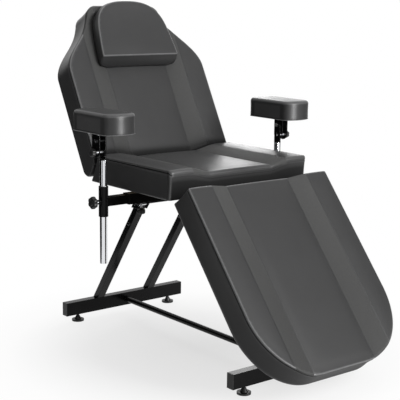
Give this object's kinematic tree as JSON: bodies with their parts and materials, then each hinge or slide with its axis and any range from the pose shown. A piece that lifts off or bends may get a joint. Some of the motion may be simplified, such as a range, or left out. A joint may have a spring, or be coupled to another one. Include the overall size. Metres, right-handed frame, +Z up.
{
  "type": "tattoo chair",
  "caption": "Upholstered tattoo chair with reclining backrest, head pillow, folding leg rest and height-adjustable tilting armrests on a steel A-frame base.",
  "frame": {"origin": "middle of the footprint on the floor, under the middle of the whole chair's bounding box", "axes": "+Z up, +Y towards the head end, +X to the right side seen from the foot end"},
  "size_m": [0.9, 1.297, 1.1927],
  "materials": {
    "upholstery": "semi-gloss grained synthetic leather",
    "board": "raw plywood",
    "hook_and_loop": "matte woven strip",
    "black_plastic": "matte moulded",
    "chrome": "polished",
    "zinc_steel": "zinc plated",
    "black_steel": "satin powder coat"
  },
  "bodies": {
    "base": {"rear_foot_beam": "black_steel", "front_foot_beam": "black_steel", "foot_end_caps": "black_plastic", "tie_bar": "black_steel", "rear_legs": "black_steel", "front_legs": "black_steel", "leg_brackets": "black_steel", "leg_bolts": "chrome", "leg_tie_rod": "black_steel", "arm_cross_tube": "black_steel", "seat_frame": "black_steel", "seat_board": "board", "seat_cushion": "upholstery", "seat_screws": "zinc_steel", "hinge_fixed_plates": "black_steel", "hinge_pawls": "zinc_steel", "hinge_pins": "zinc_steel"},
    "backrest": {"backrest_hinge_plates": "black_steel", "backrest_frame": "black_steel", "backrest_board": "board", "backrest_cushion": "upholstery", "backrest_screws": "zinc_steel", "pillow_strips": "hook_and_loop", "head_pillow": "upholstery"},
    "leg_rest": {"legrest_hinge_plates": "black_steel", "legrest_frame": "black_steel", "legrest_board": "board", "legrest_cushion": "upholstery", "legrest_screws": "zinc_steel"},
    "glide_front_left": {"glide_front_left": "black_plastic"},
    "glide_front_right": {"glide_front_right": "black_plastic"},
    "glide_rear_left": {"glide_rear_left": "black_plastic"},
    "glide_rear_right": {"glide_rear_right": "black_plastic"},
    "left_arm": {"left_arm": "black_steel"},
    "left_bush": {"left_sleeve_bush": "black_plastic"},
    "left_pole": {"left_pole": "chrome", "left_pole_head": "black_steel", "left_pivot_bolt": "chrome"},
    "left_pad": {"left_pad_bracket": "black_steel", "left_pad_screws": "zinc_steel", "left_pad_board": "board", "left_arm_pad": "upholstery"},
    "left_sleeve_knob": {"left_sleeve_knob": "black_plastic"},
    "left_tilt_knob": {"left_tilt_knob": "black_plastic"},
    "left_lock_knob": {"left_arm_lock_knob": "black_plastic"},
    "right_arm": {"right_arm": "black_steel"},
    "right_bush": {"right_sleeve_bush": "black_plastic"},
    "right_pole": {"right_pole": "chrome", "right_pole_head": "black_steel", "right_pivot_bolt": "chrome"},
    "right_pad": {"right_pad_bracket": "black_steel", "right_pad_screws": "zinc_steel", "right_pad_board": "board", "right_arm_pad": "upholstery"},
    "right_sleeve_knob": {"right_sleeve_knob": "black_plastic"},
    "right_tilt_knob": {"right_tilt_knob": "black_plastic"},
    "right_lock_knob": {"right_arm_lock_knob": "black_plastic"}
  },
  "joints": [
    {"name": "backrest_recline", "type": "hinge", "parent": "base", "child": "backrest", "pos_m": [0, 0.36612, 0.565], "axis": [1, 0, 0], "range_deg": [-62, 0]},
    {"name": "legrest_fold", "type": "hinge", "parent": "base", "child": "leg_rest", "pos_m": [0, -0.14438, 0.565], "axis": [1, 0, 0], "range_deg": [-50.5, 5.5]},
    {"name": "glide_front_left_turn", "type": "hinge", "parent": "base", "child": "glide_front_left", "pos_m": [-0.214, -0.41488, 0.028], "axis": [0, 0, 1], "continuous": true},
    {"name": "glide_front_right_turn", "type": "hinge", "parent": "base", "child": "glide_front_right", "pos_m": [0.214, -0.41488, 0.028], "axis": [0, 0, 1], "continuous": true},
    {"name": "glide_rear_left_turn", "type": "hinge", "parent": "base", "child": "glide_rear_left", "pos_m": [-0.214, 0.55112, 0.028], "axis": [0, 0, 1], "continuous": true},
    {"name": "glide_rear_right_turn", "type": "hinge", "parent": "base", "child": "glide_rear_right", "pos_m": [0.214, 0.55112, 0.028], "axis": [0, 0, 1], "continuous": true},
    {"name": "left_arm_slide", "type": "slide", "parent": "base", "child": "left_arm", "axis": [-1, 0, 0], "range_m": [-0.02, 0.06]},
    {"name": "left_pole_swivel", "type": "hinge", "parent": "left_arm", "child": "left_bush", "pos_m": [-0.389, 0.11012, 0.551], "axis": [0, 0, 1], "continuous": true},
    {"name": "left_pole_height", "type": "slide", "parent": "left_bush", "child": "left_pole", "axis": [0, 0, 1], "range_m": [-0.06, 0.15]},
    {"name": "left_pad_tilt", "type": "hinge", "parent": "left_pole", "child": "left_pad", "pos_m": [-0.389, 0.11012, 0.756], "axis": [1, 0, 0], "range_deg": [-20, 20]},
    {"name": "left_sleeve_knob_turn", "type": "hinge", "parent": "left_arm", "child": "left_sleeve_knob", "pos_m": [-0.419, 0.11012, 0.551], "axis": [1, 0, 0], "continuous": true},
    {"name": "left_tilt_knob_turn", "type": "hinge", "parent": "left_pole", "child": "left_tilt_knob", "pos_m": [-0.419, 0.11012, 0.718], "axis": [1, 0, 0], "continuous": true},
    {"name": "left_lock_knob_turn", "type": "hinge", "parent": "base", "child": "left_lock_knob", "pos_m": [-0.235, 0.11012, 0.51], "axis": [0, 0, 1], "continuous": true},
    {"name": "right_arm_slide", "type": "slide", "parent": "base", "child": "right_arm", "axis": [1, 0, 0], "range_m": [-0.02, 0.06]},
    {"name": "right_pole_swivel", "type": "hinge", "parent": "right_arm", "child": "right_bush", "pos_m": [0.389, 0.11012, 0.551], "axis": [0, 0, 1], "continuous": true},
    {"name": "right_pole_height", "type": "slide", "parent": "right_bush", "child": "right_pole", "axis": [0, 0, 1], "range_m": [-0.06, 0.15]},
    {"name": "right_pad_tilt", "type": "hinge", "parent": "right_pole", "child": "right_pad", "pos_m": [0.389, 0.11012, 0.756], "axis": [1, 0, 0], "range_deg": [-20, 20]},
    {"name": "right_sleeve_knob_turn", "type": "hinge", "parent": "right_arm", "child": "right_sleeve_knob", "pos_m": [0.419, 0.11012, 0.551], "axis": [1, 0, 0], "continuous": true},
    {"name": "right_tilt_knob_turn", "type": "hinge", "parent": "right_pole", "child": "right_tilt_knob", "pos_m": [0.419, 0.11012, 0.718], "axis": [1, 0, 0], "continuous": true},
    {"name": "right_lock_knob_turn", "type": "hinge", "parent": "base", "child": "right_lock_knob", "pos_m": [0.235, 0.11012, 0.51], "axis": [0, 0, 1], "continuous": true}
  ]
}
